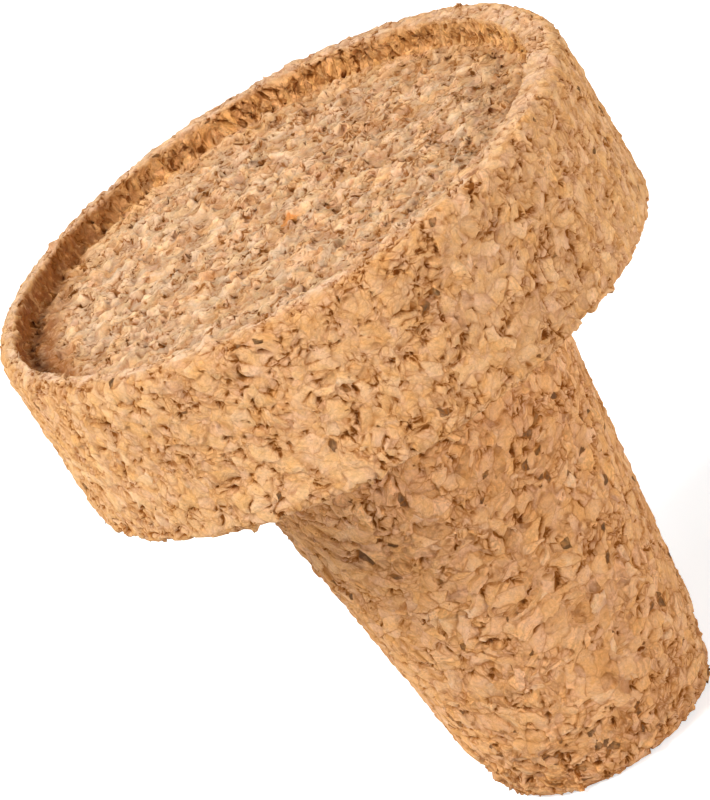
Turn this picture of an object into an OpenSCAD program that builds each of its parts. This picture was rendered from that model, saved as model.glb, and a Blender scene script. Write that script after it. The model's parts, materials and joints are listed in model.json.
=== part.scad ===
// Bottle stopper turned from one block of bonded cork.
// A broad round head with a shallow recess in its top stands on a tapered shank
// that plugs a bottle's neck. The shank stands on its end at z = 0, and its axis is Z.
// The recess sits a little off the axis, as the turned blank left it.

/* [Head] */
// Diameter of the head
head_d = 36; // [30:0.5:44]
// Height of the head, from its underside to the top of the rim
head_h = 10.8; // [7:0.1:16]
// Radius of the rim's outer edge
rim_round = 1.0; // [0.2:0.1:2]
// Radius of the edge round the head's underside
underside_round = 0.4; // [0.1:0.1:2]

/* [Recess in the top] */
// Thickness of the rim's wall, taken as if the recess were on the axis
rim_wall = 1.7; // [1.2:0.1:4]
// Depth of the recess
recess_depth = 1.8; // [1:0.1:4]
// How far the recess sits off the axis, towards -X
recess_shift = 0.45; // [0:0.05:0.8]
// Radius of the corner where the recess wall meets the floor
floor_round = 0.5; // [0.1:0.1:0.8]
// Radius of the edge round the recess mouth
mouth_round = 0.2; // [0.1:0.05:0.3]

/* [Shank] */
// Diameter of the shank where it meets the head
shank_d = 21.2; // [17:0.1:26]
// Length of the shank, below the head
shank_h = 28.1; // [20:0.1:36]
// Diameter of the shank where its taper ends and the bevel starts
tip_d = 15.9; // [13:0.1:19.1]
// Radius of the corner where the shank meets the head
neck_round = 0.4; // [0.1:0.1:2]

/* [End of the shank] */
// Height of the bevel that leads the shank into a bottle
bevel_h = 4.4; // [2:0.1:8]
// How far the bevel comes in at the end of the shank
bevel_in = 1.05; // [0.3:0.05:2]
// Radius of the edge round the end of the shank
end_round = 0.9; // [0.2:0.1:1.5]

/* [Hidden] */
$fn = 120;

cork_colour = [0.84, 0.66, 0.45];

// Radii and heights that the sizes above give
head_r = head_d / 2;
shank_r = shank_d / 2;
tip_r = tip_d / 2;
end_r = tip_r - bevel_in;
recess_r = head_r - rim_wall;
top_z = shank_h + head_h;
floor_z = top_z - recess_depth;

// The least flat land that stays on the rim, and what it leaves for the outer round
rim_land = 0.05;
thin_wall = rim_wall - recess_shift;
rim_outer_round = min(rim_round, thin_wall - mouth_round - rim_land);

// How far the recess tool reaches above the rim
clear_above = 1;

// Corners of the half outline, from the end of the shank up: radius, height, rounding
stopper_corners = [
    [0, 0, 0],
    [end_r, 0, end_round],
    [tip_r, bevel_h, 0],
    [shank_r, shank_h, neck_round],
    [head_r, shank_h, underside_round],
    [head_r, top_z, rim_outer_round],
    [0, top_z, 0]
];

// Corners of the recess cutter's half outline, from its floor up
recess_corners = [
    [0, floor_z, 0],
    [recess_r, floor_z, floor_round],
    [recess_r, top_z, mouth_round],
    [recess_r + mouth_round + clear_above, top_z, 0],
    [recess_r + mouth_round + clear_above, top_z + clear_above, 0],
    [0, top_z + clear_above, 0]
];

// A corner's neighbours, as the outline runs round
function before(corners, i) = corners[(i + len(corners) - 1) % len(corners)];
function after(corners, i) = corners[(i + 1) % len(corners)];
function place(corner) = [corner[0], corner[1]];
function heading(from, to) = (place(to) - place(from)) / norm(place(to) - place(from));

// Which way the outline turns at a corner: above 0 for a corner that sticks out
function turn(corners, i) =
    let (come = heading(before(corners, i), corners[i]))
    let (leave = heading(corners[i], after(corners, i)))
    come[0] * leave[1] - come[1] * leave[0];

// Half the angle between the two edges that meet at a corner
function half_angle(corners, i) =
    let (back = heading(corners[i], before(corners, i)))
    let (on = heading(corners[i], after(corners, i)))
    acos(back * on) / 2;

// Where the rounding of a corner leaves its two edges
function touch_points(corners, i) =
    let (reach = corners[i][2] / tan(half_angle(corners, i)))
    corners[i][2] == 0
        ? [place(corners[i])]
        : [place(corners[i]) + reach * heading(corners[i], before(corners, i)),
           place(corners[i]) + reach * heading(corners[i], after(corners, i))];

// The centre of a corner's rounding, on the line that halves its angle
function round_centre(corners, i) =
    let (back = heading(corners[i], before(corners, i)))
    let (on = heading(corners[i], after(corners, i)))
    let (middle = (back + on) / norm(back + on))
    place(corners[i]) + middle * corners[i][2] / sin(half_angle(corners, i));

// A flat outline with true arcs at its rounded corners
module rounded_outline(corners) {
    last = len(corners) - 1;
    difference() {
        polygon([for (i = [0:last]) each touch_points(corners, i)]);
        for (i = [0:last])
            if (corners[i][2] > 0 && turn(corners, i) < 0)
                translate(round_centre(corners, i)) circle(r = corners[i][2]);
    }
    for (i = [0:last])
        if (corners[i][2] > 0 && turn(corners, i) > 0)
            translate(round_centre(corners, i)) circle(r = corners[i][2]);
}

// The shallow recess in the head's top
module recess() {
    translate([-recess_shift, 0, 0])
        rotate_extrude()
            rounded_outline(recess_corners);
}

// The whole stopper: head and shank are one piece of cork
module stopper() {
    color(cork_colour)
        difference() {
            rotate_extrude() rounded_outline(stopper_corners);
            recess();
        }
}

stopper();
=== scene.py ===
"""Looks of a bottle stopper of bonded cork.

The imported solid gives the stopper's form. A voxel skin of it is roughened by a Geometry Nodes
tree that follows the cork's chips, and the cork material reads the same chips for its colour.
"""

import json
import math
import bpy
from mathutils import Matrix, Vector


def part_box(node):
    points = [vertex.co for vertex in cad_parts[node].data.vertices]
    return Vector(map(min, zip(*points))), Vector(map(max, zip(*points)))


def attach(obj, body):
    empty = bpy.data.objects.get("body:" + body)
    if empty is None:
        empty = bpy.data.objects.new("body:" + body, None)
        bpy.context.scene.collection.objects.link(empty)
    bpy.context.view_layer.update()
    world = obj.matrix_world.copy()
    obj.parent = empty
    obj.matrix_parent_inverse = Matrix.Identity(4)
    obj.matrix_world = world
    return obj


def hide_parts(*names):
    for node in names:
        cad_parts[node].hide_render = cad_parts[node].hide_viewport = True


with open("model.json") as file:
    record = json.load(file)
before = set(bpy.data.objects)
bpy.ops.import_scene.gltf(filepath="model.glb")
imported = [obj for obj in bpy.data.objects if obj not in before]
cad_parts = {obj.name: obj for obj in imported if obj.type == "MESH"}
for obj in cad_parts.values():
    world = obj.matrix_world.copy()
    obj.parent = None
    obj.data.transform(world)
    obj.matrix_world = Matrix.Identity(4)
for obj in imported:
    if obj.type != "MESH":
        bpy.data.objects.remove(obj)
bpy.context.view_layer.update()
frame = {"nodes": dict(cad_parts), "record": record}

from types import SimpleNamespace

import bpy
from bpy.props import FloatProperty, FloatVectorProperty, IntProperty, PointerProperty
from mathutils import Matrix, Vector

bl_info = {
    "name": "Bonded cork stopper",
    "version": (1, 0, 0),
    "blender": (4, 5, 0),
    "location": "View3D > Sidebar > Cork stopper",
    "description": "Builds the cork of a bottle stopper round its solid, with a plain studio",
    "category": "Object",
}

NODE = "stopper"
BODY = "root"
MM = 0.001

# The stopper's own levels and radii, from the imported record's mounts
MOUNTS = {mount["name"]: mount for mount in frame["record"]["mounts"]}
TOP_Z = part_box(NODE)[1].z
SHOULDER_Z = MOUNTS["shoulder"]["pos_m"][2]
FLOOR_Z = MOUNTS["recess_floor"]["pos_m"][2]
RECESS_X = MOUNTS["recess"]["pos_m"][0]
RECESS_R = MOUNTS["recess"]["dims"]["r_mm"] * MM


class CorkSizes(bpy.types.PropertyGroup):
    """Sizes of the cork's chips, pits and roughness"""

    skin_step: FloatProperty(
        name="Skin step", description="Spacing of the skin's mesh before it is thinned",
        default=0.125 * MM, unit="LENGTH")
    triangles: IntProperty(
        name="Triangles", description="Most triangles in the finished skin", default=196000)
    chip: FloatProperty(
        name="Chip", description="Usual width of a chip of cork", default=0.86 * MM, unit="LENGTH")
    crumb: FloatProperty(
        name="Crumb", description="Usual width of a crumb between chips", default=0.45 * MM,
        unit="LENGTH")
    bundle: FloatProperty(
        name="Bundle", description="Width over which chips lie the same way", default=3.0 * MM,
        unit="LENGTH")
    stretch: FloatProperty(
        name="Stretch", description="Length of a chip over its width", default=1.55)
    relief: FloatProperty(
        name="Relief", description="How far chips stand above or below their neighbours",
        default=0.10 * MM, unit="LENGTH")
    torn_relief: FloatProperty(
        name="Torn relief", description="The same where the cork was torn, in the recess and on the rim",
        default=0.14 * MM, unit="LENGTH")
    lean: FloatProperty(
        name="Lean", description="How much each chip's face leans its own way", default=0.35)
    torn_lean: FloatProperty(
        name="Torn lean", description="The same where the cork was torn", default=0.38)
    dome: FloatProperty(
        name="Dome", description="How far a chip's middle stands above its edges", default=0.10 * MM,
        unit="LENGTH")
    gap: FloatProperty(
        name="Gap", description="Half the width of the widest crevices between chips",
        default=0.115 * MM, unit="LENGTH")
    gap_depth: FloatProperty(
        name="Gap depth", description="Depth of the crevices between chips", default=0.15 * MM,
        unit="LENGTH")
    pit_depth: FloatProperty(
        name="Pit depth", description="Depth where a crumb is missing", default=0.24 * MM, unit="LENGTH")
    raised: FloatProperty(
        name="Raised flakes", description="Raised flakes in a square millimetre of the recess floor",
        default=2.0)
    raised_width: FloatProperty(
        name="Raised width", description="Width of the largest raised flake", default=2.1 * MM,
        unit="LENGTH")


class StudioSizes(bpy.types.PropertyGroup):
    """Camera, floor and light"""

    elevation: FloatProperty(
        name="Elevation", description="Height of the camera above the level, as an angle",
        default=math.radians(22.10), subtype="ANGLE")
    roll: FloatProperty(
        name="Roll", description="Turn of the camera about its line of sight",
        default=math.radians(32.19), subtype="ANGLE")
    distance: FloatProperty(
        name="Distance", description="Distance of the camera from its aim", default=0.288, unit="LENGTH")
    lens: FloatProperty(
        name="Lens", description="Focal length of the camera in millimetres", default=233.0)
    aim: FloatVectorProperty(
        name="Aim", description="Aim beside the axis: to the picture's right, up, and height on the axis",
        default=(2.35 * MM, -8.24 * MM, 34.4 * MM), unit="LENGTH")
    ambient: FloatProperty(
        name="Ambient", description="Strength of the light from all round", default=0.12)
    floor_size: FloatProperty(
        name="Floor size", description="Side of the floor", default=6.0, unit="LENGTH")


# Node trees. Inside them lengths along the cork's place are in millimetres.

# The mean of a random colour or of coloured noise
MIDDLE = (0.5, 0.5, 0.5)


class Wiring:
    """Adds nodes to a tree, shader or geometry, and returns their outputs."""

    def __init__(self, tree):
        self.tree = tree
        self.column = 0

    def node(self, kind, **settings):
        node = self.tree.nodes.new(kind)
        self.column += 1
        node.location = (self.column * 180, 0)
        for name, value in settings.items():
            setattr(node, name, value)
        return node

    def feed(self, socket, value):
        if isinstance(value, bpy.types.NodeSocket):
            self.tree.links.new(value, socket)
        elif socket.type in {"VECTOR", "RGBA", "ROTATION"} and isinstance(value, (int, float)):
            socket.default_value = [value] * len(socket.default_value)
        elif socket.type == "RGBA" and len(value) == 3:
            socket.default_value = (*value, 1.0)
        else:
            socket.default_value = value

    def math(self, operation, *values):
        node = self.node("ShaderNodeMath", operation=operation)
        for socket, value in zip(node.inputs, values):
            self.feed(socket, value)
        return node.outputs[0]

    def times(self, first, second):
        return self.math("MULTIPLY", first, second)

    def plus(self, first, second):
        return self.math("ADD", first, second)

    def minus(self, first, second):
        return self.math("SUBTRACT", first, second)

    def over(self, first, second):
        return self.math("DIVIDE", first, second)

    def most(self, first, second):
        return self.math("MAXIMUM", first, second)

    def above(self, first, second):
        return self.math("GREATER_THAN", first, second)

    def below(self, first, second):
        return self.math("LESS_THAN", first, second)

    def vector(self, operation, *values):
        node = self.node("ShaderNodeVectorMath", operation=operation)
        vectors = iter([s for s in node.inputs if s.type == "VECTOR"])
        for value in values:
            self.feed(next(vectors), value)
        plain = operation in {"DOT_PRODUCT", "LENGTH", "DISTANCE"}
        return node.outputs["Value" if plain else "Vector"]

    def scaled(self, vector, scale):
        node = self.node("ShaderNodeVectorMath", operation="SCALE")
        self.feed(node.inputs[0], vector)
        self.feed(node.inputs["Scale"], scale)
        return node.outputs["Vector"]

    def ramp(self, value, low, high, to_low=0.0, to_high=1.0, smooth=True):
        """value from low to high becomes to_low to to_high, held outside."""
        kind = "SMOOTHSTEP" if smooth else "LINEAR"
        node = self.node("ShaderNodeMapRange", interpolation_type=kind, clamp=True)
        for socket, number in zip(node.inputs, (value, low, high, to_low, to_high)):
            self.feed(socket, number)
        return node.outputs["Result"]

    def mix(self, share, first, second, blend="MIX"):
        """Colours mixed: none of the second at share 0, all of it at 1."""
        node = self.node("ShaderNodeMix", data_type="RGBA", blend_type=blend)
        colours = [s for s in node.inputs if s.type == "RGBA"]
        self.feed(node.inputs[0], share)
        self.feed(colours[0], first)
        self.feed(colours[1], second)
        return next(s for s in node.outputs if s.type == "RGBA")

    def shaded(self, colour, red, green, blue):
        """A colour with each of its parts multiplied."""
        return self.mix(1.0, colour, self.vector_of(red, green, blue), blend="MULTIPLY")

    def between(self, share, first, second):
        """Numbers mixed, as mix does colours."""
        node = self.node("ShaderNodeMix", data_type="FLOAT")
        values = [s for s in node.inputs if s.type == "VALUE"]
        for socket, value in zip(values, (share, first, second)):
            self.feed(socket, value)
        return next(s for s in node.outputs if s.type == "VALUE")

    def blend(self, share, first, second):
        """Vectors mixed, as mix does colours."""
        node = self.node("ShaderNodeMix", data_type="VECTOR")
        self.feed(node.inputs[0], share)
        vectors = [s for s in node.inputs if s.type == "VECTOR"]
        self.feed(vectors[-2], first)
        self.feed(vectors[-1], second)
        return next(s for s in node.outputs if s.type == "VECTOR")

    def tones(self, value, points):
        """The colour at value, from 0 to 1, along a row of (where, colour)."""
        node = self.node("ShaderNodeValToRGB")
        ends = node.color_ramp.elements
        while len(ends) < len(points):
            ends.new(0.5)
        for end, (where, colour) in zip(ends, points):
            end.position = where
            end.color = (*colour, 1.0)
        self.feed(node.inputs[0], value)
        return node.outputs[0]

    def noise(self, place, size, detail=2.0, roughness=0.5, colour=False):
        """Soft noise whose bumps are about size across."""
        node = self.node("ShaderNodeTexNoise", noise_dimensions="3D")
        self.feed(node.inputs["Vector"], place)
        node.inputs["Scale"].default_value = 1.0 / size
        node.inputs["Detail"].default_value = detail
        node.inputs["Roughness"].default_value = roughness
        return node.outputs["Color" if colour else 0]

    def push(self, place, size, detail=1.0, roughness=0.5):
        """A soft random vector about nought, whose bumps are about size across."""
        return self.vector("SUBTRACT", self.noise(place, size, detail, roughness, colour=True), MIDDLE)

    def cut(self, place, feature="F1", size=1.0):
        """Space cut into cells about size across."""
        node = self.node("ShaderNodeTexVoronoi", voronoi_dimensions="3D", feature=feature)
        self.feed(node.inputs["Vector"], place)
        node.inputs["Scale"].default_value = 1.0 / size
        return node.outputs

    def cells(self, place):
        """Cells one unit across. Returns a cell's own random colour, how far the place is from its
        edge, its way from the cell's middle, the direction out over the nearest edge, and a random
        number of that joint."""
        near, far = self.cut(place, "F1"), self.cut(place, "F2")
        middle, other = near["Position"], far["Position"]
        out = self.vector("NORMALIZE", self.vector("SUBTRACT", other, middle))
        border = self.scaled(self.vector("ADD", middle, other), 0.5)
        edge = self.vector("DOT_PRODUCT", self.vector("SUBTRACT", border, place), out)
        both = self.vector("ADD", near["Color"], far["Color"])
        joint = self.math("FRACT", self.vector("DOT_PRODUCT", both, (3.1, 5.7, 7.9)))
        return near["Color"], edge, self.vector("SUBTRACT", place, middle), out, joint

    def keep(self, geometry, name, vector):
        """Stores a vector on the geometry's points, for the material to read."""
        node = self.node("GeometryNodeStoreNamedAttribute", data_type="FLOAT_VECTOR", domain="POINT")
        node.inputs["Name"].default_value = name
        self.feed(node.inputs["Geometry"], geometry)
        self.feed(node.inputs["Value"], vector)
        return node.outputs[0]

    def kept(self, name):
        """What a skin's points hold under a name."""
        return self.node("ShaderNodeAttribute", attribute_name=name).outputs["Vector"]

    def random(self, low, high, seed):
        """A random vector for each point."""
        node = self.node("FunctionNodeRandomValue", data_type="FLOAT_VECTOR")
        self.feed(node.inputs["Min"], low)
        self.feed(node.inputs["Max"], high)
        node.inputs["Seed"].default_value = seed
        return node.outputs["Value"]

    def parts(self, vector):
        node = self.node("ShaderNodeSeparateXYZ")
        self.feed(node.inputs[0], vector)
        return node.outputs

    def turned(self, vector, turn, back=False):
        node = self.node("ShaderNodeVectorRotate", rotation_type="EULER_XYZ", invert=back)
        self.feed(node.inputs["Vector"], vector)
        self.feed(node.inputs["Rotation"], turn)
        return node.outputs[0]

    def vector_of(self, x=0.0, y=0.0, z=0.0):
        node = self.node("ShaderNodeCombineXYZ")
        for socket, value in zip(node.inputs, (x, y, z)):
            self.feed(socket, value)
        return node.outputs[0]

    def group(self, tree, **values):
        kind = "GeometryNodeGroup" if self.tree.type == "GEOMETRY" else "ShaderNodeGroup"
        node = self.node(kind)
        node.node_tree = tree
        for name, value in values.items():
            self.feed(node.inputs[name.replace("_", " ").capitalize()], value)
        return node.outputs

    def painted(self, geometry, material):
        node = self.node("GeometryNodeSetMaterial")
        self.feed(node.inputs["Geometry"], geometry)
        self.feed(node.inputs["Material"], material)
        return node.outputs[0]


def new_group(name, tree_type, given, made):
    """A node group. given and made are its inputs and its outputs, each the names of its vectors
    and of its numbers. Returns the tree, its wiring, its inputs and its output node's sockets."""
    tree = bpy.data.node_groups.new(name, tree_type)
    for way, (vectors, numbers) in (("INPUT", given), ("OUTPUT", made)):
        for label in vectors:
            tree.interface.new_socket(label, in_out=way, socket_type="NodeSocketVector")
        for label in numbers:
            tree.interface.new_socket(label, in_out=way, socket_type="NodeSocketFloat")
    wires = Wiring(tree)
    start = wires.node("NodeGroupInput")
    end = wires.node("NodeGroupOutput")
    return tree, wires, start.outputs, end.inputs


# On the recess wall the chips are slimmer by this, this long over their width, and nearly upright
WALL_SLIM = 0.70
WALL_STRETCH = 1.7
WALL_TURN = 0.35


def cork_chips_group(tree_type):
    """The cork's chips and crumbs in space, the same for the relief and for the colour."""
    tree, w, given, out = new_group(
        "Cork chips " + tree_type[:6].lower(), tree_type,
        (("Place",),
         ("Chip", "Crumb", "Bundle", "Stretch", "Whole", "Missing", "Gap", "Open", "Upright")),
        (("Outward", "Tilt", "Along"),
         ("Tone", "Hue", "Level", "Edge", "Crevice", "Valley", "Pit", "Spot", "Whole", "Rise",
          "Wander")))
    place = given["Place"]
    upright = w.above(given["Upright"], 0.5)
    slimmer = w.between(upright, 1.0, WALL_SLIM)
    chip = w.times(given["Chip"], slimmer)
    crumb = w.times(given["Crumb"], slimmer)
    # Chips have ragged sides, so the place is pushed about before it is cut into cells
    pushed = w.vector("ADD", place, w.scaled(w.push(place, 0.26), 0.15))
    # Within a bundle, chips lie the same way; each bundle turns its own way
    bundle = w.cut(w.scaled(pushed, w.over(1.0, given["Bundle"])))
    turn = w.scaled(bundle["Color"], w.between(upright, math.tau, WALL_TURN))
    along = w.turned(pushed, turn)
    squeeze = w.vector_of(1.0, 1.0, w.over(1.0, w.between(upright, given["Stretch"], WALL_STRETCH)))
    slim = w.vector("MULTIPLY", along, squeeze)
    in_chips = w.scaled(slim, w.over(1.0, chip))
    in_bits = w.scaled(slim, w.over(1.0, crumb))
    chip_colour, chip_edge, chip_way, chip_out, chip_joint = w.cells(in_chips)
    bit_colour, bit_edge, bit_way, bit_out, bit_joint = w.cells(in_bits)
    chip_edge = w.times(chip_edge, chip)
    bit_edge = w.times(bit_edge, crumb)
    # Some chips are whole; the rest of the space is filled with crumbs, and a few of those are missing
    chip_tone, chip_hue, chip_kind = w.parts(chip_colour)
    bit_tone, bit_hue, bit_kind = w.parts(bit_colour)
    plenty = w.times(w.minus(w.noise(place, 4.0, 1.0, 0.5), 0.5), 1.4)
    whole = w.below(chip_kind, w.plus(given["Whole"], plenty))
    at_chip = w.most(whole, w.below(chip_edge, bit_edge))
    edge = w.between(at_chip, bit_edge, chip_edge)
    missing = w.times(w.below(bit_kind, given["Missing"]), w.minus(1.0, whole))
    # Most joints are shut; a share of them opens into crevices, more of them in some places
    wander = w.plus(w.noise(place, 1.4, 2.0, 0.75), given["Open"])
    joint = w.between(at_chip, bit_joint, chip_joint)
    open_joint = w.ramp(joint, 0.30, 0.45, 1.0, 0.0)
    spot = w.noise(slim, 0.42, 3.0, 0.6)
    open_share = w.times(w.ramp(wander, 0.42, 0.60), w.plus(open_joint, 0.06))
    open_share = w.times(open_share, w.ramp(spot, 0.36, 0.52))
    gap = w.times(w.plus(open_share, 0.06), w.times(given["Gap"], 1.2))
    crevice = w.times(w.ramp(edge, 0.0, gap, 1.0, 0.0), w.plus(w.times(open_share, 0.85), 0.15))
    # Small spots where the cork has broken out, mostly among the crumbs
    lost = w.plus(spot, w.times(w.minus(wander, 0.5), 0.45))
    lost = w.minus(lost, w.times(whole, 0.05))
    # Chips are domed, with valleys over their joints
    valley = w.ramp(edge, 0.0, w.between(whole, 0.17, 0.30), 1.0, 0.0, smooth=False)
    valley = w.times(w.times(valley, valley), w.ramp(wander, 0.35, 0.65, 0.25, 0.9))
    valley = w.times(valley, w.plus(w.times(open_joint, 0.5), 0.6))
    # Each chip's face leans its own way
    chip_lean = w.vector("SUBTRACT", chip_colour, MIDDLE)
    bit_lean = w.vector("SUBTRACT", bit_colour, MIDDLE)
    chip_rise = w.times(w.vector("DOT_PRODUCT", chip_way, chip_lean), chip)
    bit_rise = w.times(w.vector("DOT_PRODUCT", bit_way, bit_lean), crumb)
    chip_level = w.math("FRACT", w.times(chip_kind, 9.7))
    w.feed(out["Tone"], w.between(whole, bit_tone, chip_tone))
    w.feed(out["Hue"], w.between(whole, bit_hue, chip_hue))
    w.feed(out["Level"], w.between(whole, bit_hue, chip_level))
    w.feed(out["Edge"], edge)
    w.feed(out["Crevice"], crevice)
    w.feed(out["Valley"], valley)
    w.feed(out["Pit"], w.times(missing, w.ramp(bit_edge, 0.0, 0.18)))
    w.feed(out["Spot"], w.ramp(lost, 0.595, 0.74))
    w.feed(out["Whole"], whole)
    w.feed(out["Rise"], w.between(whole, bit_rise, chip_rise))
    w.feed(out["Wander"], wander)
    w.feed(out["Outward"], w.turned(w.blend(at_chip, bit_out, chip_out), turn, back=True))
    w.feed(out["Tilt"], w.blend(whole, bit_lean, chip_lean))
    w.feed(out["Along"], along)
    return tree


def chip_shares(w, torn, wall, shank, crumbly, stretch):
    """What changes from face to face: the share of whole chips, the share of missing crumbs, how
    far the joints stand open, and how long the chips are. Lengths change at a line, because a slow
    change would drag the cells out into streaks."""
    whole = w.plus(w.times(w.plus(shank, wall), 0.25), w.ramp(torn, 0.0, 1.0, 0.35, 0.45))
    whole = w.minus(whole, w.times(crumbly, 0.45))
    opened = w.minus(w.times(wall, 0.06), w.times(shank, 0.015))
    opened = w.plus(opened, w.times(w.plus(crumbly, torn), 0.05))
    longer = w.times(w.above(shank, 0.5), 0.30)
    shorter = w.times(w.above(torn, 0.5), 0.20)
    return {
        "whole": whole,
        "missing": w.times(w.ramp(torn, 0.0, 1.0, 0.010, 0.016), w.minus(1.0, wall)),
        "open": opened,
        "stretch": w.times(stretch, w.minus(w.plus(longer, 0.90), shorter)),
        "upright": wall,
    }


FACE_SIZES = ("Recess centre", "Recess radius", "Recess floor", "Shoulder", "Top")
# How torn the top of the rim counts, where the recess floor counts 1
RIM_TORN = 0.6


def faces_group():
    """Which face of the stopper a place is on: torn floor and rim, recess wall, shank, and the
    crumbly ends."""
    tree, w, given, out = new_group(
        "Stopper faces", "GeometryNodeTree", (("Position",), FACE_SIZES),
        ((), ("Torn", "Wall", "Shank", "Crumbly")))
    x, y, z = w.parts(given["Position"])
    from_recess = w.vector("LENGTH", w.vector_of(w.minus(x, given["Recess centre"]), y))
    inward = w.minus(given["Recess radius"], from_recess)
    above_floor = w.minus(z, given["Recess floor"])
    below_top = w.minus(given["Top"], z)
    in_recess = w.above(inward, -0.15 * MM)
    on_floor = w.most(w.ramp(above_floor, 0.02 * MM, 0.25 * MM, 1.0, 0.0),
                      w.ramp(inward, 0.40 * MM, 0.60 * MM))
    on_floor = w.times(in_recess, on_floor)
    on_top = w.ramp(below_top, 0.03 * MM, 0.16 * MM, 1.0, 0.0)
    deep = w.times(in_recess, w.ramp(below_top, 0.15 * MM, 0.5 * MM))
    high = w.ramp(above_floor, -0.5 * MM, -0.2 * MM)
    wall = w.times(w.times(deep, high), w.minus(1.0, on_floor))
    torn = w.most(w.times(on_floor, high), w.times(on_top, RIM_TORN))
    shank = w.ramp(z, w.minus(given["Shoulder"], 0.2 * MM), given["Shoulder"], 1.0, 0.0)
    # The underside of the head and the shank's lower end are crumbly
    under = w.ramp(z, given["Shoulder"], w.plus(given["Shoulder"], 0.8 * MM), 0.5, 0.0)
    under = w.times(under, w.minus(1.0, shank))
    w.feed(out["Torn"], torn)
    w.feed(out["Wall"], wall)
    w.feed(out["Shank"], shank)
    w.feed(out["Crumbly"], w.most(under, w.ramp(z, 1.5 * MM, 6.5 * MM, 1.0, 0.0)))
    return tree


def start_tree(name, sizes, faces):
    """A Geometry Nodes tree with named sizes, and the stopper's faces where the geometry is."""
    tree = bpy.data.node_groups.new(name, "GeometryNodeTree")
    face = tree.interface
    face.new_socket("Geometry", in_out="INPUT", socket_type="NodeSocketGeometry")
    for label in sizes + FACE_SIZES:
        face.new_socket(label, in_out="INPUT", socket_type="NodeSocketFloat")
    face.new_socket("Material", in_out="INPUT", socket_type="NodeSocketMaterial")
    face.new_socket("Geometry", in_out="OUTPUT", socket_type="NodeSocketGeometry")
    w = Wiring(tree)
    given = w.node("NodeGroupInput").outputs
    end = w.node("NodeGroupOutput").inputs
    here = w.node("GeometryNodeInputPosition").outputs[0]
    where = w.node("GeometryNodeGroup")
    where.node_tree = faces
    w.feed(where.inputs["Position"], here)
    for label in FACE_SIZES:
        w.feed(where.inputs[label], given[label])
    return tree, w, given, end, here, where.outputs


FLAKE_SIDES = 7
SPREAD_SEED = 11
LOT_SEED = 3
LIE_SEED = 5


def raised_flakes_tree(faces):
    """Geometry Nodes: sets flat flakes into the torn and crumbly faces, for the skin to wrap."""
    tree, w, given, end, here, on = start_tree("Raised flakes", ("Density", "Width"), faces)
    spread = w.node("GeometryNodeDistributePointsOnFaces", distribute_method="POISSON")
    w.feed(spread.inputs["Mesh"], given["Geometry"])
    w.feed(spread.inputs["Distance Min"], w.times(given["Width"], 0.22))
    w.feed(spread.inputs["Density Max"], w.over(given["Density"], MM * MM))
    spread.inputs["Seed"].default_value = SPREAD_SEED
    # All are kept in the recess, and a share of them on the crumbly faces and on the rim
    in_recess = w.above(w.most(on["Torn"], on["Wall"]), 0.7)
    share = w.most(in_recess, w.times(on["Crumbly"], 0.30))
    share = w.most(share, w.times(on["Torn"], 0.35))
    lot, small, flat = w.parts(w.random((0.0, 0.0, 0.0), (1.0, 1.0, 1.0), LOT_SEED))
    kept = w.node("GeometryNodeDeleteGeometry", domain="POINT")
    w.feed(kept.inputs["Geometry"], spread.outputs["Points"])
    w.feed(kept.inputs["Selection"], w.above(lot, share))
    # Flakes lie nearly flat and any way round, but upright on the recess wall
    lying = w.node("FunctionNodeRotateRotation", rotation_space="LOCAL")
    w.feed(lying.inputs[0], spread.outputs["Rotation"])
    w.feed(lying.inputs[1], w.random((-0.30, -0.30, 0.0), (0.30, 0.30, math.tau), LIE_SEED))
    upright = w.node("FunctionNodeAlignRotationToVector", axis="X", pivot_axis="Z")
    w.feed(upright.inputs["Rotation"], lying.outputs[0])
    w.feed(upright.inputs["Factor"], w.times(on["Wall"], 0.85))
    w.feed(upright.inputs["Vector"], (0.0, 0.0, 1.0))
    # Small ones are commoner, and those outside the recess are smaller still
    length = w.times(given["Width"], w.ramp(w.times(small, small), 0.0, 1.0, 0.28, 1.0, smooth=False))
    length = w.times(length, w.between(w.above(on["Torn"], 0.7), 0.45, 1.0))
    thick = w.times(w.ramp(flat, 0.0, 1.0, 0.28, 0.54, smooth=False), MM)
    shape = w.vector_of(length, w.times(length, w.between(on["Wall"], 0.7, 0.45)), thick)
    flake = w.node("GeometryNodeMeshCylinder")
    flake.inputs["Vertices"].default_value = FLAKE_SIDES
    flake.inputs["Radius"].default_value = 0.5
    flake.inputs["Depth"].default_value = 1.0
    laid = w.node("GeometryNodeInstanceOnPoints")
    w.feed(laid.inputs["Points"], kept.outputs[0])
    w.feed(laid.inputs["Instance"], flake.outputs["Mesh"])
    w.feed(laid.inputs["Rotation"], upright.outputs[0])
    w.feed(laid.inputs["Scale"], shape)
    real = w.node("GeometryNodeRealizeInstances")
    w.feed(real.inputs["Geometry"], laid.outputs[0])
    # Each flake is dented its own way
    dented = w.node("GeometryNodeSetPosition")
    w.feed(dented.inputs["Geometry"], real.outputs[0])
    w.feed(dented.inputs["Offset"], w.scaled(w.push(w.scaled(here, 1.0 / MM), 0.60), 0.8 * MM))
    both = w.node("GeometryNodeJoinGeometry")
    w.feed(both.inputs[0], dented.outputs[0])
    w.feed(both.inputs[0], given["Geometry"])
    w.feed(end["Geometry"], w.painted(both.outputs[0], given["Material"]))
    return tree


# How high the crests stand over the recess floor, and how far they stand out of its wall
FLOOR_CREST = 0.25 * MM
WALL_CREST = 0.20 * MM
BLUR_STEPS = 6


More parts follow.
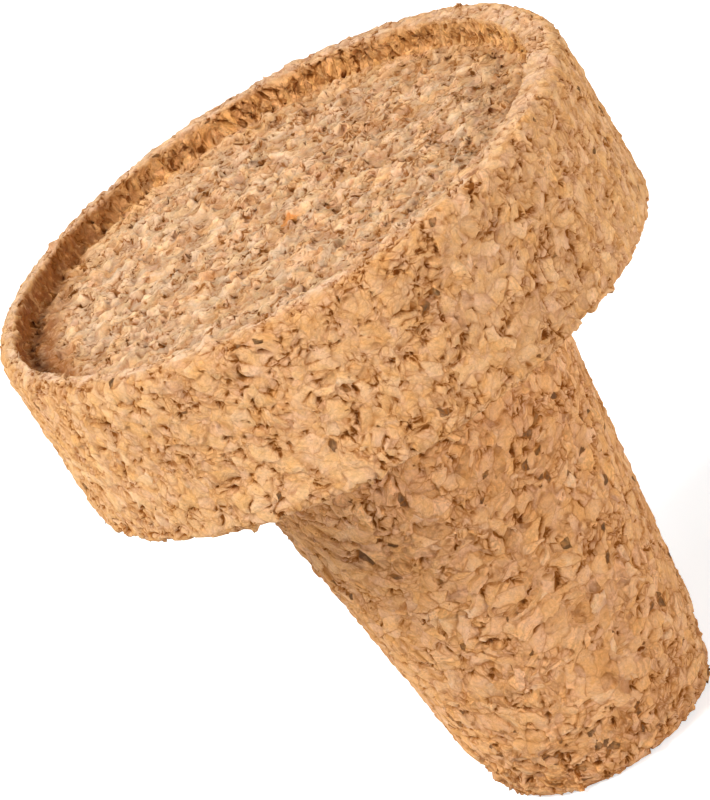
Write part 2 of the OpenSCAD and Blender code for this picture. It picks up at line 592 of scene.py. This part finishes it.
def skin_tree(chips, faces):
    """Geometry Nodes: roughens a smooth skin into cork and marks its faces."""
    tree, w, given, end, here, on = start_tree(
        "Cork skin", ("Chip", "Crumb", "Bundle", "Stretch", "Relief", "Torn relief", "Lean", "Torn lean",
                      "Dome", "Gap", "Gap depth", "Pit depth"), faces)
    normal = w.node("GeometryNodeInputNormal").outputs[0]
    torn, wall, shank, crumbly = on["Torn"], on["Wall"], on["Shank"], on["Crumbly"]
    # The chips' own relief, at a place that is bent, so that the chips are curved
    place = w.scaled(here, 1.0 / MM)
    place = w.vector("ADD", place, w.scaled(w.push(place, 1.3), 0.9))
    seen = w.group(chips, place=place, chip=w.over(given["Chip"], MM), crumb=w.over(given["Crumb"], MM),
                   bundle=w.over(given["Bundle"], MM), gap=w.over(given["Gap"], MM),
                   **chip_shares(w, torn, wall, shank, crumbly, given["Stretch"]))
    loose = w.most(w.most(torn, w.times(wall, 0.8)), w.times(crumbly, 0.7))
    relief = w.between(loose, given["Relief"], given["Torn relief"])
    level = w.times(w.minus(seen["Level"], 0.6), relief)
    lean = w.between(loose, given["Lean"], given["Torn lean"])
    rise = w.times(seen["Rise"], w.times(lean, MM))
    ragged = w.times(w.minus(w.noise(place, 0.7, 3.0, 0.6), 0.56), w.times(relief, 1.5))
    # Upright ribs on the recess wall
    ribs = w.minus(w.noise(w.vector("MULTIPLY", place, (1.0, 1.0, 0.25)), 0.5, 2.0, 0.6), 0.5)
    ragged = w.plus(ragged, w.times(ribs, w.times(wall, 0.20 * MM)))
    pit = w.most(seen["Pit"], seen["Spot"])
    hole = w.plus(w.times(seen["Crevice"], given["Gap depth"]), w.times(pit, given["Pit depth"]))
    hole = w.times(hole, w.ramp(torn, 0.0, 1.0, 1.0, 0.5))
    hole = w.plus(hole, w.times(seen["Valley"], given["Dome"]))
    height = w.minus(w.plus(w.plus(level, rise), ragged), hole)
    moved = w.vector("ADD", here, w.scaled(normal, height))
    x, y, z = w.parts(moved)
    # How far a place lies below the crests of its face, or below its near neighbours
    from_recess = w.vector("LENGTH", w.vector_of(w.minus(x, given["Recess centre"]), y))
    inward = w.minus(given["Recess radius"], from_recess)
    on_floor = w.times(torn, w.below(z, w.minus(given["Top"], 0.5 * MM)))
    stand = w.between(w.above(on_floor, 0.5), height,
                      w.minus(z, w.plus(given["Recess floor"], FLOOR_CREST)))
    stand = w.between(w.above(wall, 0.5), stand, w.minus(inward, WALL_CREST))
    # Painted shade: the deeper a place lies in a hollow, the more the material darkens it to brown
    sunk = w.ramp(stand, -0.36 * MM, -0.04 * MM, 1.0, 0.0)
    blurred = w.node("GeometryNodeBlurAttribute", data_type="FLOAT_VECTOR")
    w.feed(next(s for s in blurred.inputs if s.type == "VECTOR"), moved)
    blurred.inputs["Iterations"].default_value = BLUR_STEPS
    around = next(s for s in blurred.outputs if s.type == "VECTOR")
    below = w.vector("DOT_PRODUCT", w.vector("SUBTRACT", around, moved), normal)
    sunk = w.most(sunk, w.ramp(below, 0.025 * MM, 0.09 * MM))
    # The part of the floor near the wall
    corner = w.times(w.ramp(inward, 0.3 * MM, 3.2 * MM, 1.0, 0.0), on_floor)
    kept = w.keep(given["Geometry"], "cork place", place)
    kept = w.keep(kept, "face", w.vector_of(torn, wall, shank))
    # The rough vector holds crumbliness, the painted shade of the hollows, and nearness to the recess wall
    kept = w.keep(kept, "rough", w.vector_of(crumbly, sunk, corner))
    # Nothing goes below the level that the stopper stands on
    pushed = w.node("GeometryNodeSetPosition")
    w.feed(pushed.inputs["Geometry"], kept)
    w.feed(pushed.inputs["Position"], w.vector_of(x, y, w.most(z, 0.0)))
    real = w.node("GeometryNodeRealizeInstances")
    w.feed(real.inputs["Geometry"], pushed.outputs[0])
    smooth = w.node("GeometryNodeSetShadeSmooth")
    w.feed(smooth.inputs[0], real.outputs[0])
    w.feed(end["Geometry"], w.painted(smooth.outputs[0], given["Material"]))
    return tree


# Materials

def srgb(red, green, blue):
    """A colour written as 0 to 255 on screen, as the linear values that shaders take."""
    return tuple(
        v / 255 / 12.92 if v <= 10 else ((v / 255 + 0.055) / 1.055) ** 2.4 for v in (red, green, blue))


# A chip's colour by its tone, where the cork was cut and where it was torn
CUT_TONES = (
    (0.00, srgb(152, 108, 74)),
    (0.03, srgb(184, 138, 96)),
    (0.08, srgb(209, 162, 116)),
    (0.30, srgb(219, 173, 124)),
    (0.60, srgb(226, 181, 132)),
    (0.90, srgb(229, 187, 140)),
    (0.97, srgb(231, 193, 150)),
    (1.00, srgb(234, 201, 162)),
)
TORN_TONES = (
    (0.00, srgb(146, 92, 52)),
    (0.06, srgb(178, 124, 82)),
    (0.15, srgb(208, 158, 113)),
    (0.40, srgb(227, 182, 137)),
    (0.65, srgb(232, 191, 148)),
    (0.84, srgb(233, 197, 156)),
    (0.95, srgb(235, 202, 164)),
    (1.00, srgb(224, 160, 96)),
)
WARM_CHIP = srgb(222, 164, 96)
PINK_CHIP = srgb(228, 182, 148)
SHANK_TAN = srgb(210, 146, 92)
PALE_PATCH = srgb(235, 202, 165)
WALL_TAN = srgb(232, 174, 102)
ORANGE = srgb(228, 148, 74)
CRUMB_BROWN = srgb(190, 132, 80)
# Pinkish torn cork on the rim's top, with a painted highlight along it
RIM_PINK_HIGHLIGHT = srgb(232, 196, 168)
BARK = srgb(90, 65, 46)
SLIT_BROWN = srgb(128, 76, 36)
CRACK_BROWN = srgb(166, 100, 46)
# Painted shade in the hollows: on a cut face, on a torn one and on the recess wall
HOLLOW_SHADE_CUT = srgb(164, 102, 50)
HOLLOW_SHADE_TORN = srgb(148, 86, 36)
HOLLOW_SHADE_WALL = srgb(140, 80, 36)
CORNER_TAN = srgb(228, 174, 112)
# Painted shadow of the near and left recess walls on the floor beside them
WALL_SHADOW_BROWN = srgb(150, 92, 54)
# Brown strokes up the recess wall, and painted shade over its left side
STROKE_AND_SHADE_BROWN = srgb(128, 70, 38)
JOINT_BROWN = srgb(158, 98, 48)
CREVICE_BROWN = srgb(156, 96, 44)
CREVICE_DARK = srgb(112, 60, 20)
VALLEY_TAN = srgb(176, 108, 52)
# Pits on a cut face and on a torn one: their sides, then their bottoms
PIT_CUT = srgb(150, 88, 38)
PIT_TORN = srgb(140, 86, 40)
PIT_CUT_DARK = srgb(112, 56, 18)
PIT_TORN_DARK = srgb(98, 54, 22)

# Small flakes of torn cork: their width in millimetres, and the squeeze that makes them long
FLAKE_WIDTH = 0.36
FLAKE_SHAPE = (1.0, 1.0, 0.6)
# The middle of the orange flake on the recess floor, across and back, in millimetres
ORANGE_PLACE = (-0.2, -1.3)


def new_material(name):
    material = bpy.data.materials.new(name)
    material.use_nodes = True
    material.node_tree.nodes.clear()
    return material, Wiring(material.node_tree)


def read_skin(w, sizes, chips):
    """What the skin's points hold, the chips that lie there, and what follows from both."""
    at = SimpleNamespace(place=w.kept("cork place"))
    at.torn, at.wall, at.shank = w.parts(w.kept("face"))
    at.crumbly, at.sunk, at.corner = w.parts(w.kept("rough"))
    at.seen = w.group(chips, place=at.place, chip=sizes.chip / MM, crumb=sizes.crumb / MM,
                      bundle=sizes.bundle / MM, gap=sizes.gap / MM,
                      **chip_shares(w, at.torn, at.wall, at.shank, at.crumbly, sizes.stretch))
    # How clearly one chip differs from the next
    at.distinct = w.ramp(w.minus(at.shank, at.torn), -1.0, 1.0, 0.45, 0.95, smooth=False)
    # How far the cork is made up of small flakes, each its own tone and lean
    at.loose = w.most(w.most(at.torn, at.wall), w.times(at.crumbly, 0.5))
    at.in_flakes = w.vector("MULTIPLY", at.seen["Along"], FLAKE_SHAPE)
    at.flake = w.vector("SUBTRACT", w.cut(at.in_flakes, "F1", FLAKE_WIDTH)["Color"], MIDDLE)
    at.across = w.parts(at.place)[0]
    # Towards the left, where the recess wall is given painted shade
    at.left = w.ramp(at.across, -15.0, -4.0, 1.0, 0.0)
    at.cloud = w.noise(at.place, 0.45, 3.0, 0.6)
    at.blotch = w.noise(at.place, 0.55, 3.0, 0.7)
    # Pale patches of the floor, more of them on its left
    paler = w.plus(w.noise(at.place, 2.2, 4.0, 0.65), w.ramp(at.across, -9.0, 9.0, 0.02, -0.035))
    at.pale = w.ramp(paler, 0.485, 0.535)
    return at


def chip_colour(w, at):
    """The colour of a chip or crumb, from its own tone and hue and the face that it lies in."""
    tone = w.plus(at.seen["Tone"], w.times(w.parts(at.flake)[0], w.times(at.loose, 0.9)))
    tone = w.plus(w.times(w.minus(tone, 0.5), at.distinct), 0.5)
    tone = w.plus(tone, w.times(w.minus(w.noise(at.place, 0.9, 3.0, 0.6), 0.5), 0.9))
    hue = w.plus(w.times(w.minus(at.seen["Hue"], 0.5), at.distinct), 0.5)
    hue = w.plus(hue, w.times(w.minus(w.noise(at.place, 1.1, 3.0, 0.6), 0.5), 2.2))
    colour = w.mix(at.torn, w.tones(tone, CUT_TONES), w.tones(tone, TORN_TONES))
    warm = w.times(w.ramp(hue, 0.52, 1.0, 0.0, 0.45), w.ramp(at.torn, 0.0, 1.0, 1.0, 0.8))
    colour = w.mix(warm, colour, WARM_CHIP)
    pink = w.times(w.ramp(hue, 0.0, 0.48, 1.0, 0.0), w.ramp(at.torn, 0.0, 1.0, 0.42, 0.55))
    colour = w.mix(pink, colour, PINK_CHIP)
    # The shank and the recess wall are browner, and torn faces have paler patches
    colour = w.mix(w.times(at.shank, 0.25), colour, SHANK_TAN)
    colour = w.mix(w.times(w.times(at.pale, at.torn), 0.75), colour, PALE_PATCH)
    return w.mix(w.times(at.wall, 0.6), colour, WALL_TAN)


def odd_chips(w, at, colour):
    """Chips of other colours: one orange flake, brown crumbs, a pinkish rim top with a painted highlight
    along it, and dark bark.
    """
    off = w.vector("DISTANCE", at.place, (*ORANGE_PLACE, FLOOR_Z / MM))
    off = w.plus(off, w.times(at.cloud, 0.8))
    orange = w.times(w.ramp(off, 0.92, 1.04, 0.82, 0.0), at.torn)
    colour = w.mix(orange, colour, ORANGE)
    crumbs = w.times(w.minus(1.0, at.seen["Whole"]), w.ramp(at.torn, 0.0, 1.0, 0.20, 0.08))
    colour = w.mix(crumbs, colour, CRUMB_BROWN)
    # The rim's top is pinker and paler: pinkish torn cork, with a painted highlight along it
    rim = w.ramp(w.math("ABSOLUTE", w.minus(at.torn, RIM_TORN)), 0.0, 0.3, 0.25, 0.0)
    colour = w.mix(rim, colour, RIM_PINK_HIGHLIGHT)
    # A very few crumbs are bark, most of them on the shank and where the cork is crumbly
    few = w.between(w.above(at.shank, 0.5), w.ramp(at.torn, 0.0, 1.0, 0.012, 0.004),
                    w.ramp(at.crumbly, 0.0, 1.0, 0.040, 0.085))
    bark = w.times(w.below(at.seen["Tone"], few), w.minus(1.0, at.seen["Whole"]))
    bark = w.times(bark, w.ramp(at.cloud, 0.35, 0.55, 0.45, 0.92))
    return w.mix(bark, colour, BARK)


def slits(w, at, colour):
    """Brown slits that stand open round some of the flakes, most of them on the right, on the
    recess wall and near it."""
    rougher = w.plus(w.ramp(at.across, -9.0, 9.0, -0.02, 0.035), w.times(w.most(at.wall, at.corner), 0.07))
    share = w.ramp(w.plus(w.noise(at.place, 0.7, 3.0, 0.65), rougher), 0.52, 0.66)
    share = w.times(share, w.times(at.loose, w.ramp(at.pale, 0.0, 1.0, 1.0, 0.45)))
    width = w.plus(w.times(share, 0.26), 0.02)
    edge = w.cut(at.in_flakes, "DISTANCE_TO_EDGE", FLAKE_WIDTH)["Distance"]
    slit = w.times(w.ramp(edge, 0.0, width, 1.0, 0.0), share)
    return w.mix(w.times(slit, 0.75), colour, SLIT_BROWN)


def fine_marks(w, at, colour):
    """Fine mottle, the growth lines that run along a chip, slow drifts of colour, and hair cracks."""
    speck = w.ramp(w.noise(at.place, 0.16, 2.0, 0.7), 0.25, 0.75, 0.82, 1.12, smooth=False)
    lines = w.noise(w.vector("MULTIPLY", at.seen["Along"], (1.0, 1.0, 0.10)), 0.17, 0.0)
    line_share = w.times(w.ramp(at.seen["Level"], 0.70, 0.85, 0.03, 0.22), at.distinct)
    lit = w.plus(speck, w.times(w.minus(w.ramp(lines, 0.35, 0.65), 0.5), line_share))
    # The floor's tone drifts, and all the cork is more orange in some places than in others
    drift = w.times(w.ramp(w.noise(at.place, 1.5, 3.0, 0.6), 0.36, 0.64, -0.15, 0.13), at.torn)
    lit = w.times(lit, w.plus(drift, 1.0))
    tint = w.noise(w.vector("ADD", at.place, (40.0, 0.0, 0.0)), 0.8, 3.0, 0.6)
    green = w.times(lit, w.ramp(tint, 0.34, 0.66, 1.025, 0.965))
    blue = w.times(lit, w.ramp(tint, 0.34, 0.66, 1.10, 0.86))
    colour = w.shaded(colour, lit, green, blue)
    crack = w.math("ABSOLUTE", w.minus(w.noise(at.place, 0.55, 2.0, 0.6), 0.5))
    crack = w.ramp(crack, 0.0, 0.022, 1.0, 0.0)
    crack = w.times(crack, w.ramp(at.seen["Wander"], 0.35, 0.65, 0.10, 0.45))
    crack = w.times(crack, w.ramp(at.torn, 0.0, 1.0, 1.0, 0.3))
    return w.mix(crack, colour, CRACK_BROWN)


def browned_and_shaded(w, at, colour):
    """Painted shade in the hollows, a floor a little browner near the recess wall, painted shadow of the
    near and left walls on the floor beside them, brown strokes up the wall, and painted shade over the
    wall's left side.
    """
    brown = w.mix(at.wall, w.mix(at.torn, HOLLOW_SHADE_CUT, HOLLOW_SHADE_TORN), HOLLOW_SHADE_WALL)
    # Painted shade in the hollows, much stronger on the left of the recess wall
    share = w.between(at.wall, w.between(at.torn, 0.5, 0.30), w.between(at.left, 0.10, 0.80))
    colour = w.mix(w.times(at.sunk, share), colour, brown)
    colour = w.mix(w.times(at.corner, 0.4), colour, CORNER_TAN)
    # Painted shadow of the near and left walls, in blotches on the floor beside them
    wall_shadow = w.times(w.ramp(at.corner, 0.05, 0.75), w.ramp(at.blotch, 0.34, 0.62, 0.35, 0.92))
    near = w.vector("DOT_PRODUCT", at.place, (0.4, 1.0, 0.0))
    wall_shadow = w.times(wall_shadow, w.ramp(near, -2.0, 8.0, 1.0, 0.0))
    colour = w.mix(wall_shadow, colour, WALL_SHADOW_BROWN)
    # The left of the wall is painted brown nearly all over, as shade
    strokes = w.noise(w.vector("MULTIPLY", at.place, (1.0, 1.0, 0.45)), 0.36, 3.0, 0.65)
    stroke = w.most(w.ramp(strokes, 0.54, 0.70, 0.0, 0.28), w.times(at.left, 0.88))
    stroke = w.times(stroke, w.ramp(strokes, 0.40, 0.56, 0.45, 1.0))
    colour = w.mix(w.times(stroke, at.wall), colour, STROKE_AND_SHADE_BROWN)
    shade = w.between(at.wall, 1.0, w.ramp(at.blotch, 0.36, 0.62, 1.22, 0.90))
    return w.shaded(colour, shade, shade, shade)


def openings(w, at, colour):
    """Shut joints, crevices, the valleys between chips, and pits."""
    joint = w.times(w.ramp(at.seen["Edge"], 0.0, 0.07, 1.0, 0.0),
                    w.ramp(at.seen["Wander"], 0.35, 0.60, 0.15, 0.70))
    joint = w.times(joint, w.minus(w.times(at.distinct, 1.3), 0.35))
    colour = w.mix(joint, colour, JOINT_BROWN)
    crevice = w.times(at.seen["Crevice"], w.ramp(at.torn, 0.0, 1.0, 0.92, 0.75))
    colour = w.mix(crevice, colour, CREVICE_BROWN)
    colour = w.mix(w.ramp(crevice, 0.5, 1.0), colour, CREVICE_DARK)
    colour = w.mix(w.times(at.seen["Valley"], 0.30), colour, VALLEY_TAN)
    pit = w.most(at.seen["Pit"], at.seen["Spot"])
    colour = w.mix(pit, colour, w.mix(at.torn, PIT_CUT, PIT_TORN))
    bottom = w.mix(at.torn, PIT_CUT_DARK, PIT_TORN_DARK)
    return w.mix(w.ramp(pit, 0.5, 1.0, 0.0, 0.75), colour, bottom)


def cork_normal(w, at):
    """Which way the surface faces: the chips' edges are rounded, each chip and flake leans its own
    way, and all of it is grainy."""
    rounding = w.ramp(at.seen["Edge"], 0.0, 0.14, 0.14, 0.0, smooth=False)
    lean = w.vector("ADD", w.scaled(at.seen["Outward"], rounding), w.scaled(at.seen["Tilt"], 0.30))
    lean = w.vector("ADD", lean, w.scaled(at.flake, w.times(at.loose, 0.40)))
    turn = w.node("ShaderNodeVectorTransform", vector_type="VECTOR", convert_from="OBJECT",
                  convert_to="WORLD")
    w.feed(turn.inputs[0], lean)
    flat = w.node("ShaderNodeNewGeometry").outputs["Normal"]
    leaning = w.vector("NORMALIZE", w.vector("ADD", flat, turn.outputs[0]))
    deep = w.plus(w.ramp(at.torn, 0.0, 1.0, 0.11, 0.13), w.times(at.wall, 0.07))
    grain = w.times(w.noise(at.place, 0.30, 3.0, 0.65), deep)
    steps = w.times(w.parts(at.flake)[1], w.times(at.loose, 0.055))
    bump = w.node("ShaderNodeBump")
    bump.inputs["Strength"].default_value = 1.0
    bump.inputs["Distance"].default_value = MM
    w.feed(bump.inputs["Height"], w.plus(grain, steps))
    w.feed(bump.inputs["Normal"], leaning)
    return bump.outputs[0]


def cork_material(sizes, chips):
    """Bonded cork: chips of many tans, brown crevices, dark pits, torn and cut faces. It is dull."""
    material, w = new_material("bonded cork")
    at = read_skin(w, sizes, chips)
    colour = chip_colour(w, at)
    for layer in (odd_chips, slits, fine_marks, browned_and_shaded, openings):
        colour = layer(w, at, colour)
    surface = w.node("ShaderNodeBsdfPrincipled")
    w.feed(surface.inputs["Base Color"], colour)
    surface.inputs["Roughness"].default_value = 0.9
    surface.inputs["Diffuse Roughness"].default_value = 0.7
    surface.inputs["Specular IOR Level"].default_value = 0.0
    w.feed(surface.inputs["Normal"], cork_normal(w, at))
    out = w.node("ShaderNodeOutputMaterial")
    w.feed(out.inputs["Surface"], surface.outputs[0])
    return material


def direct_view(w):
    """1 for what the camera sees, also in gloss and through glass; 0 for what lights other things."""
    ray = w.node("ShaderNodeLightPath").outputs
    return w.most(ray["Is Camera Ray"], w.most(ray["Is Glossy Ray"], ray["Is Transmission Ray"]))


def floor_material():
    """A matt white floor that keeps shadows and meets the white background."""
    material, w = new_material("white floor")
    matt = w.node("ShaderNodeBsdfDiffuse")
    matt.inputs["Color"].default_value = (0.8, 0.8, 0.8, 1.0)
    glow = w.node("ShaderNodeEmission")
    # Away from the stopper and the lamps the floor's own light takes over, so that it stays white
    away = w.vector("LENGTH", w.node("ShaderNodeTexCoord").outputs["Object"])
    strength = w.times(direct_view(w), w.ramp(away, 0.08, 0.35, 0.62, 0.95))
    w.feed(glow.inputs["Strength"], strength)
    both = w.node("ShaderNodeAddShader")
    w.feed(both.inputs[0], matt.outputs[0])
    w.feed(both.inputs[1], glow.outputs[0])
    out = w.node("ShaderNodeOutputMaterial")
    w.feed(out.inputs["Surface"], both.outputs[0])
    return material


# Pieces

def add_object(name, data):
    piece = bpy.data.objects.new(name, data)
    bpy.context.scene.collection.objects.link(piece)
    return piece


def applied(source, name):
    """A plain mesh object of what source's modifiers make."""
    bpy.context.view_layer.update()
    graph = bpy.context.evaluated_depsgraph_get()
    mesh = bpy.data.meshes.new_from_object(source.evaluated_get(graph))
    bpy.data.objects.remove(source)
    mesh.name = name
    return add_object(name, mesh)


def add_tree(piece, name, tree, wanted):
    """Adds a Geometry Nodes modifier and sets its inputs by their names."""
    modifier = piece.modifiers.new(name, "NODES")
    modifier.node_group = tree
    for socket in tree.interface.items_tree:
        if socket.in_out == "INPUT" and socket.name in wanted:
            modifier[socket.identifier] = wanted[socket.name]


def triangles(piece):
    return sum(len(face.vertices) - 2 for face in piece.data.polygons)


class CORK_OT_stopper(bpy.types.Operator):
    """Make the stopper's cork round its solid"""

    bl_idname = "cork.stopper"
    bl_label = "Stopper"

    def execute(self, context):
        sizes = context.scene.cork_sizes
        material = cork_material(sizes, cork_chips_group("ShaderNodeTree"))
        blank = add_object("blank", frame["nodes"][NODE].data.copy())
        weld = blank.modifiers.new("weld", "WELD")
        weld.merge_threshold = 0.001 * MM
        faces = faces_group()
        face_sizes = {"Recess centre": RECESS_X, "Recess radius": RECESS_R, "Recess floor": FLOOR_Z,
                      "Shoulder": SHOULDER_Z, "Top": TOP_Z, "Material": material}
        add_tree(blank, "flakes", raised_flakes_tree(faces), {
            "Density": sizes.raised, "Width": sizes.raised_width, **face_sizes})
        skin = blank.modifiers.new("skin", "REMESH")
        skin.mode = "VOXEL"
        skin.voxel_size = sizes.skin_step
        skin.use_smooth_shade = True
        add_tree(blank, "cork", skin_tree(cork_chips_group("GeometryNodeTree"), faces), {
            "Chip": sizes.chip, "Crumb": sizes.crumb, "Bundle": sizes.bundle, "Stretch": sizes.stretch,
            "Relief": sizes.relief, "Torn relief": sizes.torn_relief,
            "Lean": sizes.lean, "Torn lean": sizes.torn_lean, "Dome": sizes.dome,
            "Gap": sizes.gap, "Gap depth": sizes.gap_depth, "Pit depth": sizes.pit_depth,
            **face_sizes})
        fine = applied(blank, "fine cork")
        thin = fine.modifiers.new("thin", "DECIMATE")
        thin.ratio = min(1.0, sizes.triangles / triangles(fine))
        stopper = applied(fine, "cork_stopper")
        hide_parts(NODE)
        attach(stopper, BODY)
        print("stopper triangles", triangles(stopper))
        return {"FINISHED"}


LAMP_DISTANCE = 0.45
# The left lamps are a touch cooler than the right one
COOL = (0.985, 1.002, 1.0)
WARM = (1.02, 0.995, 0.975)
PLAIN = (1.0, 1.0, 1.0)
# Each lamp's name, direction from the stopper, side, strength and colour
LAMPS = (
    ("high left light", (-0.497, -0.287, 0.819), 0.16, 2.20, COOL),
    ("low left light", (-0.837, -0.483, 0.259), 0.16, 0.47, COOL),
    ("right light", (0.683, -0.683, 0.259), 0.16, 1.28, WARM),
    ("back light", (0.20, 0.97, 0.12), 0.30, 1.10, PLAIN),
)


def area_light(name, direction, size, strength, colour):
    """A square lamp that faces the middle of the stopper."""
    middle = Vector((0.0, 0.0, TOP_Z / 2))
    lamp = bpy.data.lights.new(name, "AREA")
    lamp.size = size
    lamp.energy = strength
    lamp.color = colour
    piece = add_object(name, lamp)
    piece.location = middle + Vector(direction).normalized() * LAMP_DISTANCE
    piece.rotation_euler = (middle - piece.location).to_track_quat("-Z", "Y").to_euler()


def studio_world(ambient):
    """A white background that lights the stopper only a little."""
    world = bpy.data.worlds.new("studio")
    world.use_nodes = True
    world.node_tree.nodes.clear()
    w = Wiring(world.node_tree)
    back = w.node("ShaderNodeBackground")
    w.feed(back.inputs["Strength"], w.between(direct_view(w), ambient, 1.0))
    out = w.node("ShaderNodeOutputWorld")
    w.feed(out.inputs["Surface"], back.outputs[0])
    return world


def add_camera(studio):
    """A camera whose axes are turned by its elevation and then by its roll."""
    tilt, roll = studio.elevation, studio.roll
    back = Vector((0.0, -math.cos(tilt), math.sin(tilt)))
    level = Vector((1.0, 0.0, 0.0))
    upright = Vector((0.0, math.sin(tilt), math.cos(tilt)))
    right = level * math.cos(roll) - upright * math.sin(roll)
    up = level * math.sin(roll) + upright * math.cos(roll)
    sideways, lift, height = studio.aim
    eye = Vector((0.0, 0.0, height)) + right * sideways + up * lift + back * studio.distance
    data = bpy.data.cameras.new("camera")
    data.lens = studio.lens
    camera = add_object("camera", data)
    camera.matrix_world = Matrix.Translation(eye) @ Matrix((right, up, back)).transposed().to_4x4()
    return camera


class CORK_OT_studio(bpy.types.Operator):
    """Make the floor, the light and the camera"""

    bl_idname = "cork.studio"
    bl_label = "Studio"

    def execute(self, context):
        studio = context.scene.cork_studio
        half = studio.floor_size / 2
        sheet = bpy.data.meshes.new("floor")
        sheet.from_pydata([(-half, -half, 0), (half, -half, 0), (half, half, 0), (-half, half, 0)],
                          [], [(0, 1, 2, 3)])
        floor = add_object("floor", sheet)
        sheet.materials.append(floor_material())
        context.scene.world = studio_world(studio.ambient)
        for lamp in LAMPS:
            area_light(*lamp)
        context.scene.camera = add_camera(studio)
        context.scene.view_settings.view_transform = "Standard"
        return {"FINISHED"}


class CORK_PT_panel(bpy.types.Panel):
    """Lists the steps and their sizes"""

    bl_idname = "CORK_PT_panel"
    bl_label = "Cork stopper"
    bl_space_type = "VIEW_3D"
    bl_region_type = "UI"
    bl_category = "Cork stopper"

    def draw(self, context):
        for step, group in (("cork.stopper", context.scene.cork_sizes),
                            ("cork.studio", context.scene.cork_studio)):
            box = self.layout.box()
            box.operator(step)
            for name in group.bl_rna.properties.keys():
                if name not in {"rna_type", "name"}:
                    box.prop(group, name)


CLASSES = (CorkSizes, StudioSizes, CORK_OT_stopper, CORK_OT_studio, CORK_PT_panel)


def register():
    for entry in CLASSES:
        bpy.utils.register_class(entry)
    bpy.types.Scene.cork_sizes = PointerProperty(type=CorkSizes)
    bpy.types.Scene.cork_studio = PointerProperty(type=StudioSizes)


def unregister():
    del bpy.types.Scene.cork_studio
    del bpy.types.Scene.cork_sizes
    for entry in reversed(CLASSES):
        bpy.utils.unregister_class(entry)


def main():
    register()
    bpy.ops.cork.stopper()
    bpy.ops.cork.studio()


if __name__ == "__main__":
    main()
